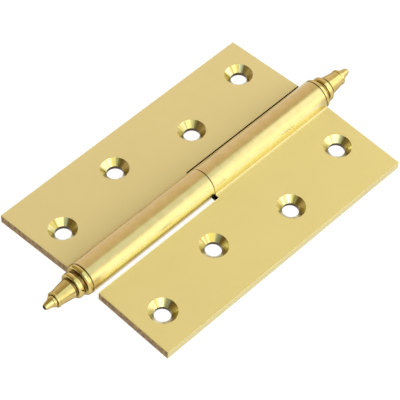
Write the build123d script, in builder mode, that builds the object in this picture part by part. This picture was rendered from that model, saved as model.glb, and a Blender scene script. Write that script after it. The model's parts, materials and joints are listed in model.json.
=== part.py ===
from build123d import *
from math import asin, atan2, cos, degrees, hypot, radians, sin, sqrt, tan
import os

# Lift-off butt hinge with turned finials, lying knuckle up on a flat surface.
# X runs across the leaves, Y along the pin and Z up. The origin is on the surface, under the pin's middle.

# Leaves
leaf_length = 100.0
open_width = 70.0
leaf_thickness = 3.0
closed_gap = 0.8
edge_break = 0.12

# Knuckles
knuckle_diameter = 10.5
knuckle_root_fillet = 0.8
knuckle_clearance = 1.4
joint_gap = 0.12

# Screw holes, in two staggered rows along the middle of each leaf
hole_count = 4
hole_end_margin = 9.2
hole_stagger = 5.9
hole_diameter = 5.2
countersink_diameter = 9.0
countersink_angle = 90.0

# Pin and thrust ball
pin_diameter = 6.0
running_clearance = 0.05
press_setback = 2.0
pin_chamfer = 0.6
ball_diameter = 4.0
ball_seat_clearance = 0.05
ball_seat_diameter = 2.8
ball_seat_angle = 120.0

# Finials, with each length measured along the pin
spigot_length = 14.4
spigot_chamfer = 0.4
shoulder_diameter = 8.0
shoulder_length = 0.2
collar_setback = 0.1
collar_length = 0.8
taper_end_diameter = 9.2
taper_length = 0.75
neck_diameter = 7.2
neck_length = 0.95
bead_diameter = 8.4
bead_length = 1.9
bead_chamfer = 0.6
groove_diameter = 6.0
groove_length = 0.7
cone_base_diameter = 6.4
cone_top_diameter = 4.9
cone_length = 5.25
lip_diameter = 5.2
lip_length = 0.8
foot_diameter = 3.75
foot_length = 0.95
tip_base_diameter = 3.0
tip_end_diameter = 1.9
tip_length = 2.8
tip_chamfer = 0.45

# Derived sizes
knuckle_radius = knuckle_diameter / 2
pin_radius = pin_diameter / 2
bore_radius = pin_radius + running_clearance
ball_radius = ball_diameter / 2
collar_radius = knuckle_radius - collar_setback
leaf_reach = open_width / 2
leaf_top = -closed_gap / 2
leaf_back = leaf_top - leaf_thickness
notch_edge = knuckle_radius + knuckle_clearance
half_length = leaf_length / 2
half_gap = joint_gap / 2
hole_pitch = (leaf_length - 2 * hole_end_margin) / (hole_count - 1)
hole_row_middle = (notch_edge + leaf_reach) / 2

# At rest the knuckles and both outer leaf edges touch the surface, which sets how far the leaves droop.
droop = asin(knuckle_radius / hypot(leaf_reach, leaf_back)) - atan2(-leaf_back, leaf_reach)
pin_axis = Axis((0, 0, knuckle_radius), (0, 1, 0))

# The ball bears on the cone in the upper spigot's end, and the pin's end bears on the ball.
spigot_end = half_length - spigot_length
seat_slope = radians(ball_seat_angle / 2)
seat_apex = spigot_end + ball_seat_diameter / 2 / tan(seat_slope)
ball_centre = seat_apex - (ball_radius + ball_seat_clearance) / sin(seat_slope)
pin_bottom = -spigot_end
pin_top = ball_centre - ball_radius - ball_seat_clearance

# Where each form of a finial starts, measured from the pin's middle
collar_start = half_length + shoulder_length
taper_start = collar_start + collar_length
neck_start = taper_start + taper_length
bead_start = neck_start + neck_length
groove_start = bead_start + bead_length
cone_start = groove_start + groove_length
lip_start = cone_start + cone_length
foot_start = lip_start + lip_length
tip_start = foot_start + foot_length
tip_end = tip_start + tip_length

os.makedirs("parts", exist_ok=True)


def section_plane(side):
    """Plane across the pin at mid-length: local x runs out along the leaf and local y is the leaf's normal."""
    outward = (side * cos(droop), 0, -sin(droop))
    return Plane(origin=pin_axis.position, x_dir=outward, z_dir=(0, -side, 0))


def face_plane(side):
    """Plane of the leaf's countersunk face, with local y towards the leaf's own knuckle."""
    section = section_plane(side)
    return Plane(origin=section.from_local_coords((0, leaf_top)), x_dir=section.x_dir, z_dir=section.y_dir)


def turning_plane(side):
    """Plane through the pin's axis: local x is the radius and local y runs out to that side's finial."""
    return Plane(origin=pin_axis.position, x_dir=(1, 0, 0), z_dir=(0, 0, side))


def make_leaf(side):
    """One extruded leaf: a plate with its knuckle on one half, cut back on the other for the other knuckle."""
    section = section_plane(side)
    top_root = (sqrt(knuckle_radius**2 - leaf_top**2), leaf_top)
    back_root = (sqrt(knuckle_radius**2 - leaf_back**2), leaf_back)
    start_angle = degrees(atan2(top_root[1], top_root[0]))
    end_angle = degrees(atan2(back_root[1], back_root[0]))

    with BuildPart() as leaf:
        with BuildSketch(section.offset(-half_length)) as profile:
            with BuildLine():
                Polyline(top_root, (leaf_reach, leaf_top), (leaf_reach, leaf_back), back_root)
                CenterArc((0, 0), knuckle_radius, start_angle, 360 + end_angle - start_angle)
            make_face()
            roots = profile.vertices().sort_by(Axis.X)[:2]
            fillet(roots, knuckle_root_fillet)
            Circle(bore_radius, mode=Mode.SUBTRACT)
        extrude(amount=leaf_length)

        with BuildSketch(section.offset(-half_gap)):
            with Locations((notch_edge, 0)):
                Rectangle(2 * notch_edge, 2 * notch_edge, align=(Align.MAX, Align.CENTER))
        extrude(amount=half_length + half_gap, mode=Mode.SUBTRACT)

        # Every cut edge is broken, but not the inner corner of the notch.
        sawn_edges = [edge for face in leaf.faces().filter_by(Axis.Y) for edge in face.outer_wire().edges()]
        long_edges = leaf.edges().filter_by(Axis.Y).filter_by(
            lambda edge: section.to_local_coords(edge.center()).X > notch_edge - edge_break
        )
        leaf_normal = Axis(section.origin, section.y_dir)
        inner_corner = leaf.edges().filter_by(leaf_normal).sort_by_distance(section.origin)[0]
        chamfer([edge for edge in sawn_edges + long_edges if edge != inner_corner], edge_break)

        with Locations(face_plane(side)):
            for index in range(hole_count):
                along = ((hole_count - 1) / 2 - index) * hole_pitch
                across = hole_row_middle + hole_stagger * (index % 2 - 1 / 2)
                with Locations((across, along)):
                    CounterSinkHole(
                        hole_diameter / 2,
                        countersink_diameter / 2,
                        counter_sink_angle=countersink_angle,
                    )
    return leaf


def make_finial(side):
    """One turned finial: a spigot with a ball seat in its end, then collar, neck, bead, cone, lip, foot and tip."""
    with BuildPart() as finial:
        with BuildSketch(turning_plane(side)):
            with BuildLine():
                Polyline(
                    (0, seat_apex),
                    (ball_seat_diameter / 2, spigot_end),
                    (bore_radius - spigot_chamfer, spigot_end),
                    (bore_radius, spigot_end + spigot_chamfer),
                    (bore_radius, half_length),
                    (shoulder_diameter / 2, half_length),
                    (shoulder_diameter / 2, collar_start),
                    (collar_radius, collar_start),
                    (collar_radius, taper_start),
                    (taper_end_diameter / 2, neck_start),
                    (neck_diameter / 2, neck_start),
                    (neck_diameter / 2, bead_start),
                    (bead_diameter / 2, bead_start + bead_chamfer),
                    (bead_diameter / 2, groove_start - bead_chamfer),
                    (groove_diameter / 2, groove_start),
                    (groove_diameter / 2, cone_start),
                    (cone_base_diameter / 2, cone_start),
                    (cone_top_diameter / 2, lip_start),
                    (lip_diameter / 2, lip_start),
                    (lip_diameter / 2, foot_start),
                    (foot_diameter / 2, foot_start),
                    (foot_diameter / 2, tip_start),
                    (tip_base_diameter / 2, tip_start),
                    (tip_end_diameter / 2, tip_end - tip_chamfer),
                    (tip_end_diameter / 2 - tip_chamfer, tip_end),
                    (0, tip_end),
                    close=True,
                )
            make_face()
        revolve(axis=pin_axis)
    return finial


frame_leaf = make_leaf(-1)
frame_leaf.part.label = "frame_leaf"
export_step(frame_leaf.part, "parts/frame_leaf.step")

door_leaf = make_leaf(1)
door_leaf.part.label = "door_leaf"
export_step(door_leaf.part, "parts/door_leaf.step")

lower_finial = make_finial(-1)
lower_finial.part.label = "lower_finial"
export_step(lower_finial.part, "parts/lower_finial.step")

upper_finial = make_finial(1)
upper_finial.part.label = "upper_finial"
export_step(upper_finial.part, "parts/upper_finial.step")

# The pin is pressed into the frame leaf's knuckle, and the door leaf's knuckle turns on its slimmer upper part.
with BuildPart() as hinge_pin:
    with BuildSketch(turning_plane(1)):
        with BuildLine():
            press_top = -half_gap - press_setback
            Polyline(
                (0, pin_bottom),
                (bore_radius - pin_chamfer, pin_bottom),
                (bore_radius, pin_bottom + pin_chamfer),
                (bore_radius, press_top),
                (pin_radius, press_top),
                (pin_radius, pin_top - pin_chamfer),
                (pin_radius - pin_chamfer, pin_top),
                (0, pin_top),
                close=True,
            )
        make_face()
    revolve(axis=pin_axis)
hinge_pin.part.label = "hinge_pin"
export_step(hinge_pin.part, "parts/hinge_pin.step")

# The ball between the pin's end and the upper spigot carries the door, so the knuckles never rub.
with BuildPart(Plane(origin=(0, ball_centre, knuckle_radius))) as thrust_ball:
    Sphere(ball_radius)
thrust_ball.part.label = "thrust_ball"
export_step(thrust_ball.part, "parts/thrust_ball.step")
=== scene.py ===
import json
import math
from functools import reduce
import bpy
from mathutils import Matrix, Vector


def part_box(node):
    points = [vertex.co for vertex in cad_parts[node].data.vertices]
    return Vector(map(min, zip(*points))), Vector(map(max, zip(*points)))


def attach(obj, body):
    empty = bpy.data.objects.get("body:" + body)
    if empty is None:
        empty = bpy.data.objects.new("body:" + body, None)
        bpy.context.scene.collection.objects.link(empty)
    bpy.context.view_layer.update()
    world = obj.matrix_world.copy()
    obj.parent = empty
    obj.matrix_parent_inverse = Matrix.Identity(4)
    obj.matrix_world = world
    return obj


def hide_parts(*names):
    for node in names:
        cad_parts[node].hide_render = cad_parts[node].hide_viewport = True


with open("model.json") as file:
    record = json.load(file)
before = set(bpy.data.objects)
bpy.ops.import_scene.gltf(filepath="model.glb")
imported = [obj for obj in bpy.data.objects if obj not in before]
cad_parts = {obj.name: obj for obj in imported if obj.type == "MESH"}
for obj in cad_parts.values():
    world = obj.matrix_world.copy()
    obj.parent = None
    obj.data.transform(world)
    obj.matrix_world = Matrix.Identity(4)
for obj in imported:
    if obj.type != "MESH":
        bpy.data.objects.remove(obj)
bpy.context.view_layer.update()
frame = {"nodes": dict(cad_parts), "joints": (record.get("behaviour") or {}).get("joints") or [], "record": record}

from types import SimpleNamespace

import bmesh
import bpy
from mathutils import Matrix, Vector

# Camera, in metres, with the lens in millimetres
camera_place = Vector((0.27443, -0.30342, 0.50738))
camera_aim = Vector((0.00096, -0.00191, 0.0))
camera_roll = math.radians(2.45)
camera_lens = 194.6

# Sizes of the hinge that its finishes follow, in metres
millimetres_per_metre = 1000
knuckle_clearance = 0.0014
countersink_radius = 0.0045

# Pin and leaves, from the frame. The knuckles rest on the surface, so the pin is one knuckle radius up.
mounts = {mount["name"]: mount for mount in frame["record"]["mounts"]}
inner_screws = mounts["door_leaf_inner_screws"]
outer_screws = mounts["door_leaf_outer_screws"]
swing = next(joint for joint in frame["joints"] if joint["name"] == "door_swing")
pin_height = swing["pos_m"][2]
knuckle_radius = pin_height
notch_reach = knuckle_radius + knuckle_clearance
half_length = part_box("door_leaf")[1].y
leaf_droop = math.atan2(inner_screws["axis"][0], inner_screws["axis"][2])


def across_leaf(place):
    """Distance of a place from the pin, measured out along the door leaf."""
    return place[0] * math.cos(leaf_droop) - (place[2] - pin_height) * math.sin(leaf_droop)


# Screw holes, from the frame. The two holes of a row are two pitches apart.
inner_row = across_leaf(inner_screws["pos_m"])
outer_row = across_leaf(outer_screws["pos_m"])
hole_row_middle = (inner_row + outer_row) / 2
hole_stagger = outer_row - inner_row
hole_pitch = inner_screws["dims"]["pcd_mm"] / 2 / millimetres_per_metre
hole_count = inner_screws["dims"]["count"] + outer_screws["dims"]["count"]

# Half of a finial's outline in millimetres: place along the pin, radius and rounding of each corner
finial_outline = (
    # Ball seat, spigot and shoulder
    (36.408, 0, 0), (35.6, 1.4, 0), (35.6, 3.05, 0.4), (50.0, 3.05, 0), (50.0, 4.0, 0), (50.2, 4.0, 0),
    # Collar and neck
    (50.2, 5.15, 0.12), (51.3, 5.15, 0.5), (51.75, 4.6, 0.25),
    (51.75, 3.7, 0.3), (52.25, 3.55, 0.3), (52.72, 3.6, 0.05),
    # Bead and groove
    (52.76, 4.22, 0.55), (54.54, 4.22, 0.65), (54.6, 3.1, 0.15), (55.0, 3.0, 0.2), (55.3, 3.05, 0.05),
    # Cone and lip
    (55.3, 3.2, 0.06), (60.5, 2.45, 0.1), (60.6, 2.62, 0.1), (61.3, 2.62, 0.22),
    # Foot and tip
    (61.35, 1.9, 0.1), (61.4, 1.9, 0.05), (62.3, 1.86, 0.22), (62.3, 1.5, 0.08),
    (64.6, 1.05, 0.4), (65.1, 0.7, 0.2), (65.1, 0, 0),
)

# Painted shade in a finial's neck, groove and foot, in millimetres along the pin: start, end and soft edge
finial_hollows = ((51.85, 52.55, 0.15), (54.65, 55.25, 0.12), (61.36, 61.5, 0.06))

# Painted shade on a finial's joint face and tip, in millimetres along the pin, from no dark to full dark
finial_joint = (50.36, 50.22)
finial_tip = (64.92, 65.06)

# Colours, in pairs from darkest to lightest mark. The two leaves differ, to match how each is lit.
white = (1, 1, 1, 1)
satin_left = ((0.745, 0.612, 0.28, 1), (0.785, 0.648, 0.307, 1))
satin_right = ((0.745, 0.612, 0.25, 1), (0.785, 0.648, 0.277, 1))
knuckle_polish = ((0.594, 0.451, 0.192, 1), (0.634, 0.491, 0.219, 1))
countersink_cut = ((0.44, 0.335, 0.075, 1), (0.76, 0.675, 0.38, 1))
sawn_end = ((0.19, 0.120, 0.056, 1), (0.41, 0.270, 0.130, 1))
long_side = (0.66, 0.55, 0.19, 1)
finial_polish = ((0.61, 0.47, 0.165, 1), (0.69, 0.545, 0.215, 1))
pin_ground = ((0.46, 0.46, 0.47, 1), (0.62, 0.62, 0.63, 1))
ball_polish = ((0.62, 0.62, 0.63, 1), (0.72, 0.72, 0.73, 1))

# Paint that stands in for light and shade, and isn't a finish of the brass
# Paler brass low on the right of each knuckle is a painted reflection.
bright_strip = ((0.87, 0.80, 0.40, 1), (0.91, 0.84, 0.44, 1))
# Dark brown on the walls of each screw hole below its countersink is painted shade.
bore_painted_shade = (0.087, 0.062, 0.043, 1)
# Near black on the end faces between the knuckles, and on the frame leaf's wall beside the door knuckle, is
# painted shade.
painted_gap_shade = (0.016, 0.012, 0.008, 1)
# Pale brass on the door leaf's wall beside the frame knuckle is painted light.
notch_painted_light = (0.90, 0.82, 0.45, 1)
# Dark brown in a finial's neck, groove and foot is painted shade.
painted_hollow_shade = (0.175, 0.109, 0.033, 1)
# Near black on a finial's joint face and tip is painted shade.
painted_joint_tip_shade = (0.07, 0.05, 0.035, 1)

# Light of the studio by its angle round the pin in degrees, from the left horizon over the top to the right
studio_light = (
    (-90, (1.01, 0.955, 1.05, 1)),
    (-60, (1.05, 0.92, 0.86, 1)),
    (-3, (0.825, 0.745, 0.565, 1)),
    (3, (1.09, 1.29, 1.305, 1)),
    (42, (1.145, 1.316, 1.38, 1)),
    (65, (1.75, 1.66, 1.50, 1)),
    (78, (1.62, 1.56, 1.30, 1)),
    (90, (1.45, 1.42, 1.25, 1)),
)
studio_left_shade = (0.50, 0.44, 0.26, 1)
studio_window_light = (1.145, 1.29, 1.425)
floor_reach = 3.0


class Nodes:
    """Short calls that add nodes to a tree. An input is a number, a vector, a colour or a node's output."""

    def __init__(self, tree):
        self.tree = tree
        tree.nodes.clear()

    def add(self, kind, **settings):
        node = self.tree.nodes.new(kind)
        for name, value in settings.items():
            setattr(node, name, value)
        return node

    def feed(self, socket, value):
        if isinstance(value, bpy.types.NodeSocket):
            self.tree.links.new(value, socket)
        else:
            socket.default_value = value

    def math(self, operation, *values, clamp=False):
        node = self.add("ShaderNodeMath", operation=operation, use_clamp=clamp)
        for socket, value in zip(node.inputs, values):
            self.feed(socket, value)
        return node.outputs[0]

    def overlap(self, *masks):
        return reduce(lambda first, second: self.math("MULTIPLY", first, second), masks)

    def union(self, *masks):
        return reduce(lambda first, second: self.math("MAXIMUM", first, second), masks)

    def vector(self, operation, *values):
        node = self.add("ShaderNodeVectorMath", operation=operation)
        for socket, value in zip(node.inputs, values):
            self.feed(socket, value)
        return node.outputs["Value" if operation in ("DOT_PRODUCT", "LENGTH") else "Vector"]

    def scale(self, vector, factor):
        node = self.add("ShaderNodeVectorMath", operation="SCALE")
        self.feed(node.inputs["Vector"], vector)
        self.feed(node.inputs["Scale"], factor)
        return node.outputs["Vector"]

    def split(self, vector):
        node = self.add("ShaderNodeSeparateXYZ")
        self.feed(node.inputs[0], vector)
        return node.outputs

    def join(self, x, y, z):
        node = self.add("ShaderNodeCombineXYZ")
        for socket, value in zip(node.inputs, (x, y, z)):
            self.feed(socket, value)
        return node.outputs[0]

    def fade(self, value, low, high, start=0.0, end=1.0):
        """Smooth change from start, where value is low, to end, where value is high."""
        node = self.add("ShaderNodeMapRange", interpolation_type="SMOOTHSTEP")
        for socket, number in zip(node.inputs, (value, low, high, start, end)):
            self.feed(socket, number)
        return node.outputs[0]

    def noise(self, vector, scale=1.0, detail=3.0):
        node = self.add("ShaderNodeTexNoise")
        self.feed(node.inputs["Vector"], vector)
        node.inputs["Scale"].default_value = scale
        node.inputs["Detail"].default_value = detail
        node.inputs["Roughness"].default_value = 0.55
        return node.outputs["Fac"]

    def streaks(self, place, per_metre, detail=3.0):
        """Noise with its own number of marks per metre along each axis."""
        return self.noise(self.vector("MULTIPLY", place, per_metre), detail=detail)

    def stain(self, place):
        """Soft patches of all polished brass."""
        return self.fade(self.noise(place, 420.0, detail=4.0), 0.35, 0.7)

    def blend(self, factor, first, second, kind="FLOAT"):
        node = self.add("ShaderNodeMix", data_type=kind)
        offset = {"FLOAT": 2, "VECTOR": 4, "RGBA": 6}[kind]
        self.feed(node.inputs[0], factor)
        self.feed(node.inputs[offset], first)
        self.feed(node.inputs[offset + 1], second)
        return node.outputs[{"FLOAT": 0, "VECTOR": 1, "RGBA": 2}[kind]]

    def paint(self, mask, under, over):
        return self.blend(mask, under, over, "RGBA")

    def bump(self, height, distance):
        node = self.add("ShaderNodeBump")
        self.feed(node.inputs["Height"], height)
        node.inputs["Distance"].default_value = distance
        node.inputs["Strength"].default_value = 1.0
        return node.outputs[0]


def new_material(name):
    """New metal, with its nodes and its shader."""
    material = bpy.data.materials.new(name)
    material.use_nodes = True
    nodes = Nodes(material.node_tree)
    shader = nodes.add("ShaderNodeBsdfPrincipled")
    shader.inputs["Metallic"].default_value = 1.0
    output = nodes.add("ShaderNodeOutputMaterial")
    nodes.feed(output.inputs["Surface"], shader.outputs[0])
    return material, nodes, shader


def leaf_places(nodes, place, side):
    """Where a point of the leaf is, from the pin and from the middle of the nearest screw hole."""
    at = SimpleNamespace()
    at.outward = (side * math.cos(leaf_droop), 0, -math.sin(leaf_droop))
    at.upward = (side * math.sin(leaf_droop), 0, math.cos(leaf_droop))
    at.endward = (0, side, 0)

    at.from_pin = nodes.vector("SUBTRACT", place, (0, 0, pin_height))
    at.pin_distance = nodes.vector("LENGTH", nodes.vector("MULTIPLY", at.from_pin, (1, 0, 1)))
    pin_axes = nodes.split(at.from_pin)
    at.roll = nodes.math("ARCTAN2", pin_axes["X"], pin_axes["Z"])
    at.across = nodes.vector("DOT_PRODUCT", at.from_pin, at.outward)
    at.along = nodes.vector("DOT_PRODUCT", at.from_pin, at.endward)
    at.middle_distance = nodes.math("ABSOLUTE", at.along)

    middle = (hole_count - 1) / 2
    at.hole_number = nodes.math("ROUND", nodes.math("MULTIPLY_ADD", at.along, -1 / hole_pitch, middle))
    row = nodes.math("MULTIPLY_ADD", nodes.math("FLOORED_MODULO", at.hole_number, 2.0), 2.0, -1.0)
    hole_across = nodes.math("MULTIPLY_ADD", row, hole_stagger / 2, hole_row_middle)
    hole_along = nodes.math("MULTIPLY_ADD", at.hole_number, -hole_pitch, middle * hole_pitch)
    at.radial_across = nodes.math("SUBTRACT", at.across, hole_across)
    at.radial_along = nodes.math("SUBTRACT", at.along, hole_along)
    at.from_hole = nodes.join(at.radial_across, at.radial_along, 0.0)
    at.hole_distance = nodes.vector("LENGTH", at.from_hole)
    return at


def leaf_regions(nodes, normal, at):
    """How much of each finish, and of each painted light or shade, a point of the leaf has."""
    on = SimpleNamespace()
    facing_up = nodes.vector("DOT_PRODUCT", normal, at.upward)
    facing_out = nodes.vector("DOT_PRODUCT", normal, at.outward)
    facing_end = nodes.math("ABSOLUTE", nodes.vector("DOT_PRODUCT", normal, at.endward))

    near_hole = nodes.fade(at.hole_distance, countersink_radius + 0.0002, countersink_radius + 0.00005)
    # Painted shade on the straight walls of each hole below its countersink.
    on.bore = nodes.overlap(nodes.fade(nodes.math("ABSOLUTE", facing_up), 0.4, 0.2), near_hole)
    on.hole = nodes.overlap(nodes.fade(facing_up, 0.97, 0.9), near_hole, nodes.fade(facing_up, -0.9, -0.6))
    plain = nodes.fade(on.hole, 0.6, 0.2)

    on.knuckle = nodes.fade(at.pin_distance, knuckle_radius + 0.00035, knuckle_radius + 0.00004)
    # Painted reflection: a paler strip low on the right of each knuckle, fading out towards the leaf ends.
    on.bright_strip = nodes.overlap(
        nodes.fade(at.roll, math.radians(48), math.radians(66)),
        nodes.fade(at.roll, math.radians(98), math.radians(84)),
        nodes.fade(at.middle_distance, half_length - 0.0005, half_length - 0.006),
    )
    on.long_side = nodes.overlap(nodes.fade(facing_out, 0.6, 0.8), nodes.fade(on.knuckle, 0.5, 0.1))
    on.sawn = nodes.overlap(nodes.fade(facing_end, 0.75, 0.95), plain)
    # Painted shade on the end faces in the joint between the knuckles.
    on.joint = nodes.overlap(on.sawn, nodes.fade(at.middle_distance, 0.002, 0.001))

    # Wall and top edge beside the other leaf's knuckle: painted shade on the frame leaf, painted light on the door
    # leaf.
    past_knuckle = nodes.fade(at.pin_distance, notch_reach - 0.00045, notch_reach - 0.00005)
    notch_wall = nodes.overlap(nodes.fade(facing_out, -0.5, -0.68), past_knuckle, plain)
    notch_edge = nodes.overlap(
        nodes.fade(at.across, notch_reach + 0.00033, notch_reach + 0.00021),
        nodes.fade(at.along, 0.0, -0.0001),
        past_knuckle,
    )
    on.notch = nodes.union(notch_wall, notch_edge)
    return on


def leaf_marks(nodes, place, at):
    """Grain along the pin, cloudy lacquer, stained polish, chatter round each countersink, and saw marks."""
    marks = SimpleNamespace()
    marks.grain = nodes.streaks(place, (9000.0, 260.0, 9000.0), detail=2.0)
    marks.cloud = nodes.noise(place, 60.0)
    marks.stain = nodes.stain(place)
    turn = nodes.scale(nodes.vector("NORMALIZE", at.from_hole), 2.4)
    own_pattern = nodes.join(0.0, 0.0, nodes.math("MULTIPLY", at.hole_number, 3.7))
    marks.chatter = nodes.fade(nodes.noise(nodes.vector("ADD", turn, own_pattern), detail=2.0), 0.32, 0.68)
    marks.saw = nodes.fade(nodes.streaks(place, (1100.0, 900.0, 450.0)), 0.3, 0.7)
    return marks


def leaf_colour(nodes, on, marks, side):
    """Colour of each finish and each painted light or shade, with the later one over the earlier one."""
    knuckle = nodes.paint(marks.stain, *knuckle_polish)
    knuckle = nodes.paint(on.bright_strip, knuckle, nodes.paint(marks.stain, *bright_strip))
    colour = nodes.paint(marks.cloud, *(satin_left if side < 0 else satin_right))
    colour = nodes.paint(on.knuckle, colour, knuckle)
    colour = nodes.paint(on.long_side, colour, long_side)
    colour = nodes.paint(on.hole, colour, nodes.paint(marks.chatter, *countersink_cut))
    colour = nodes.paint(on.bore, colour, bore_painted_shade)
    colour = nodes.paint(on.sawn, colour, nodes.paint(marks.saw, *sawn_end))
    colour = nodes.paint(on.joint, colour, painted_gap_shade)
    return nodes.paint(on.notch, colour, painted_gap_shade if side < 0 else notch_painted_light)


def leaf_spread(nodes, on, at):
    """Direction in which reflections spread most: across the plate, round the knuckle, out from a hole."""
    around_pin = nodes.vector("CROSS_PRODUCT", (0, 1, 0), nodes.vector("NORMALIZE", at.from_pin))
    out_across = nodes.scale(at.outward, at.radial_across)
    out_along = nodes.scale(at.endward, at.radial_along)
    out_of_hole = nodes.vector("NORMALIZE", nodes.vector("ADD", out_across, out_along))
    spread = nodes.blend(on.knuckle, at.outward, around_pin, "VECTOR")
    return nodes.blend(on.hole, spread, out_of_hole, "VECTOR")


def leaf_brass(side):
    """Satin plate, polished knuckle, cut countersinks and sawn ends, with some painted light and shade."""
    material, nodes, shader = new_material("leaf_brass_left" if side < 0 else "leaf_brass_right")
    coordinates = nodes.add("ShaderNodeTexCoord")
    place = coordinates.outputs["Object"]
    at = leaf_places(nodes, place, side)
    on = leaf_regions(nodes, coordinates.outputs["Normal"], at)
    marks = leaf_marks(nodes, place, at)

    roughness = nodes.math("MULTIPLY_ADD", marks.grain, 0.10, 0.60)
    roughness = nodes.blend(on.knuckle, roughness, nodes.math("MULTIPLY_ADD", marks.stain, 0.03, 0.17))
    roughness = nodes.blend(on.hole, roughness, nodes.math("MULTIPLY_ADD", marks.chatter, -0.10, 0.30))
    roughness = nodes.blend(on.sawn, roughness, 0.55)

    height = nodes.blend(on.knuckle, marks.grain, nodes.math("MULTIPLY", marks.stain, 0.35))
    height = nodes.blend(on.hole, height, nodes.math("MULTIPLY", marks.chatter, 4.0))
    height = nodes.blend(on.sawn, height, nodes.math("MULTIPLY", marks.saw, 2.5))

    bare = nodes.union(on.sawn, on.hole, on.notch, on.knuckle)
    lacquer = nodes.math("SUBTRACT", 1.0, bare, clamp=True)
    # Faces with painted shade also get a near-black reflection tint.
    black = nodes.union(on.joint, on.notch) if side < 0 else on.joint

    nodes.feed(shader.inputs["Base Color"], leaf_colour(nodes, on, marks, side))
    nodes.feed(shader.inputs["Roughness"], roughness)
    nodes.feed(shader.inputs["Normal"], nodes.bump(height, 0.000006))
    nodes.feed(shader.inputs["Tangent"], leaf_spread(nodes, on, at))
    nodes.feed(shader.inputs["Coat Weight"], lacquer)
    nodes.feed(shader.inputs["Specular Tint"], nodes.paint(black, white, (0.05, 0.05, 0.05, 1)))
    shader.inputs["Anisotropic"].default_value = 0.6
    shader.inputs["Coat Roughness"].default_value = 0.15
    return material


def finial_brass():
    """Polished brass from the lathe with fine rings, and shade painted in its hollows, joint and tip."""
    material, nodes, shader = new_material("finial_brass")
    place = nodes.add("ShaderNodeTexCoord").outputs["Object"]
    along = nodes.math("MULTIPLY", nodes.math("ABSOLUTE", nodes.split(place)["Y"]), millimetres_per_metre)
    bands = [
        nodes.overlap(nodes.fade(along, start - soft, start), nodes.fade(along, end + soft, end))
        for start, end, soft in finial_hollows
    ]
    joint = nodes.fade(along, *finial_joint)
    tip = nodes.fade(along, *finial_tip)
    rings = nodes.streaks(place, (150.0, 9000.0, 150.0), detail=2.0)
    colour = nodes.paint(nodes.stain(place), *finial_polish)
    # Painted shade in the hollows, then in the joint face and the tip.
    colour = nodes.paint(nodes.union(*bands), colour, painted_hollow_shade)
    colour = nodes.paint(nodes.union(joint, tip), colour, painted_joint_tip_shade)
    nodes.feed(shader.inputs["Base Color"], colour)
    nodes.feed(shader.inputs["Roughness"], nodes.math("MULTIPLY_ADD", rings, 0.08, 0.04))
    nodes.feed(shader.inputs["Normal"], nodes.bump(rings, 0.000003))
    shader.inputs["Specular Tint"].default_value = (0.42, 0.38, 0.42, 1)
    return material


def bare_steel(name, colours, roughness, marks_per_metre):
    """Ground or polished steel with fine marks."""
    material, nodes, shader = new_material(name)
    place = nodes.add("ShaderNodeTexCoord").outputs["Object"]
    marks = nodes.streaks(place, marks_per_metre)
    nodes.feed(shader.inputs["Base Color"], nodes.paint(marks, *colours))
    nodes.feed(shader.inputs["Roughness"], nodes.math("MULTIPLY_ADD", marks, 0.12, roughness))
    nodes.feed(shader.inputs["Normal"], nodes.bump(marks, 0.000003))
    return material


def rounded(corners, steps=6):
    """Points along an outline, with each corner turned into a smooth curve that starts its rounding away."""
    points = []
    for index, (place, radius, rounding) in enumerate(corners):
        corner = Vector((place, radius))
        if not rounding:
            points.append(corner)
            continue
        before = Vector(corners[index - 1][:2]) - corner
        after = Vector(corners[index + 1][:2]) - corner
        start = corner + before.normalized() * rounding
        end = corner + after.normalized() * rounding
        for step in range(steps + 1):
            share = step / steps
            points.append(start.lerp(corner, share).lerp(corner.lerp(end, share), share))
    return points


def turned_mesh(name, side, segments=128):
    """Finial's outline turned round the pin, welded on the axis and shaded smooth between its edges."""
    outline = rounded(finial_outline)
    vertices = []
    for place, radius in outline:
        for segment in range(segments):
            angle = 2 * math.pi * segment / segments
            x = radius * math.sin(angle) / millimetres_per_metre
            z = radius * math.cos(angle) / millimetres_per_metre
            vertices.append((x, side * place / millimetres_per_metre, pin_height + z))
    faces = []
    for ring in range(len(outline) - 1):
        for segment in range(segments):
            following = (segment + 1) % segments
            face = [ring * segments + segment, ring * segments + following]
            face += [(ring + 1) * segments + following, (ring + 1) * segments + segment]
            faces.append(face if side > 0 else face[::-1])
    mesh = bpy.data.meshes.new(name)
    mesh.from_pydata(vertices, [], faces)
    welded = bmesh.new()
    welded.from_mesh(mesh)
    bmesh.ops.remove_doubles(welded, verts=welded.verts, dist=1e-7)
    bmesh.ops.recalc_face_normals(welded, faces=welded.faces)
    welded.to_mesh(mesh)
    welded.free()
    mesh.shade_smooth()
    mesh.set_sharp_from_angle(angle=math.radians(35))
    return mesh


def turned_finial(name, side, body, material):
    """Finial as it leaves the lathe, with its edges rounded, in place of the solid's chamfered rings."""
    mesh = turned_mesh(f"turned_{name}", side)
    mesh.materials.append(material)
    piece = bpy.data.objects.new(f"turned_{name}", mesh)
    bpy.context.scene.collection.objects.link(piece)
    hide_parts(name)
    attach(piece, body)


def add_camera():
    """Camera at the photograph's viewing angle."""
    data = bpy.data.cameras.new("camera")
    data.lens = camera_lens
    data.sensor_width = 36.0
    data.clip_start = 0.01
    camera = bpy.data.objects.new("camera", data)
    bpy.context.scene.collection.objects.link(camera)
    facing = (camera_aim - camera_place).to_track_quat("-Z", "Y").to_matrix().to_4x4()
    camera.matrix_world = Matrix.Translation(camera_place) @ facing @ Matrix.Rotation(camera_roll, 4, "Z")
    bpy.context.scene.camera = camera


def add_softbox(name, place, facing, width, height, brightness):
    """Flat lamp that looks equally bright from everywhere in front of it."""
    data = bpy.data.lights.new(name, "AREA")
    data.shape = "RECTANGLE"
    data.size = width
    data.size_y = height
    data.energy = math.pi * width * height * brightness
    lamp = bpy.data.objects.new(name, data)
    bpy.context.scene.collection.objects.link(lamp)
    lamp.location = place
    lamp.rotation_euler = Vector(facing).to_track_quat("-Z", "Y").to_euler()


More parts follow.
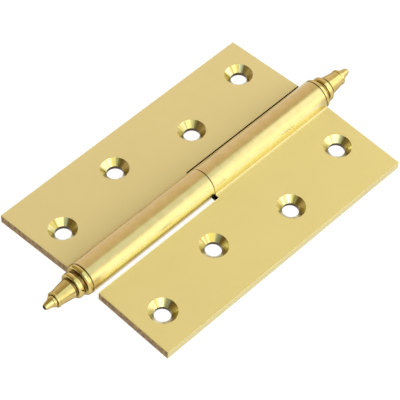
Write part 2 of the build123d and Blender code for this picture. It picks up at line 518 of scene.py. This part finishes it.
def add_world():
    """Studio round the hinge: dim at the left, bright at the right, with a window there and a dark front."""
    world = bpy.data.worlds.new("world")
    bpy.context.scene.world = world
    world.use_nodes = True
    nodes = Nodes(world.node_tree)
    x, y, z = nodes.split(nodes.add("ShaderNodeTexCoord").outputs["Generated"])
    roll = nodes.math("ARCTAN2", x, z)

    sides = nodes.add("ShaderNodeValToRGB")
    nodes.feed(sides.inputs[0], nodes.math("MULTIPLY_ADD", roll, 0.5 / math.pi, 0.5))
    # The ramp's own two stops make way for the studio's.
    stops = sides.color_ramp.elements
    stops.remove(stops[1])
    for angle, colour in studio_light:
        stops.new(0.5 + angle / 360).color = colour
    stops.remove(stops[0])

    left = nodes.overlap(nodes.fade(roll, 0.05, -0.05), nodes.fade(y, 0.36, 0.15))
    shade = nodes.paint(left, white, studio_left_shade)
    front = nodes.fade(y, -0.80, -0.62, 0.3, 1.0)
    room = nodes.scale(nodes.vector("MULTIPLY", sides.outputs["Color"], shade), front)
    window = nodes.overlap(
        nodes.fade(roll, 0.45, 0.60),
        nodes.fade(roll, 1.40, 1.15),
        nodes.fade(y, -0.74, -0.62),
        nodes.fade(y, 0.20, 0.05),
    )
    background = nodes.add("ShaderNodeBackground")
    light = nodes.vector("ADD", room, nodes.scale(studio_window_light, window))
    nodes.feed(background.inputs["Color"], light)
    output = nodes.add("ShaderNodeOutputWorld")
    nodes.feed(output.inputs["Surface"], background.outputs[0])


def floor_white():
    """White with a faint shadow to the camera and in reflections, and pale paper to other light."""
    material = bpy.data.materials.new("floor_white")
    material.use_nodes = True
    nodes = Nodes(material.node_tree)
    path = nodes.add("ShaderNodeLightPath")
    seen = nodes.math("ADD", path.outputs["Is Camera Ray"], path.outputs["Is Glossy Ray"])
    seen = nodes.math("ADD", seen, path.outputs["Is Transmission Ray"], clamp=True)
    paper = nodes.add("ShaderNodeBsdfDiffuse")
    paper.inputs["Color"].default_value = (0.8, 0.8, 0.8, 1)
    shadow = nodes.add("ShaderNodeBsdfDiffuse")
    shadow.inputs["Color"].default_value = (0.15, 0.15, 0.15, 1)
    glow = nodes.add("ShaderNodeEmission")
    glow.inputs["Strength"].default_value = 0.92
    backdrop = nodes.add("ShaderNodeAddShader")
    nodes.feed(backdrop.inputs[0], shadow.outputs[0])
    nodes.feed(backdrop.inputs[1], glow.outputs[0])
    mixed = nodes.add("ShaderNodeMixShader")
    nodes.feed(mixed.inputs[0], seen)
    nodes.feed(mixed.inputs[1], paper.outputs[0])
    nodes.feed(mixed.inputs[2], backdrop.outputs[0])
    output = nodes.add("ShaderNodeOutputMaterial")
    nodes.feed(output.inputs["Surface"], mixed.outputs[0])
    return material


def add_floor():
    """Pale floor under the hinge."""
    corners = [(x * floor_reach, y * floor_reach, 0) for x, y in ((-1, -1), (1, -1), (1, 1), (-1, 1))]
    mesh = bpy.data.meshes.new("floor")
    mesh.from_pydata(corners, [], [(0, 1, 2, 3)])
    mesh.materials.append(floor_white())
    floor = bpy.data.objects.new("floor", mesh)
    bpy.context.scene.collection.objects.link(floor)


turned_brass = finial_brass()
finishes = {
    "frame_leaf": leaf_brass(-1),
    "door_leaf": leaf_brass(1),
    "hinge_pin": bare_steel("pin_steel", pin_ground, roughness=0.22, marks_per_metre=(300, 9000, 300)),
    "thrust_ball": bare_steel("ball_steel", ball_polish, roughness=0.05, marks_per_metre=(900, 900, 900)),
}
for name, material in finishes.items():
    slots = frame["nodes"][name].data.materials
    slots.clear()
    slots.append(material)

turned_finial("lower_finial", -1, "frame", turned_brass)
turned_finial("upper_finial", 1, "door", turned_brass)

add_camera()
add_softbox(
    "overhead", place=(1.04, 0.55, 0.32), facing=(0, 0, -1), width=2.0, height=0.7, brightness=0.58
)
add_world()
add_floor()

bpy.context.scene.view_settings.view_transform = "Standard"
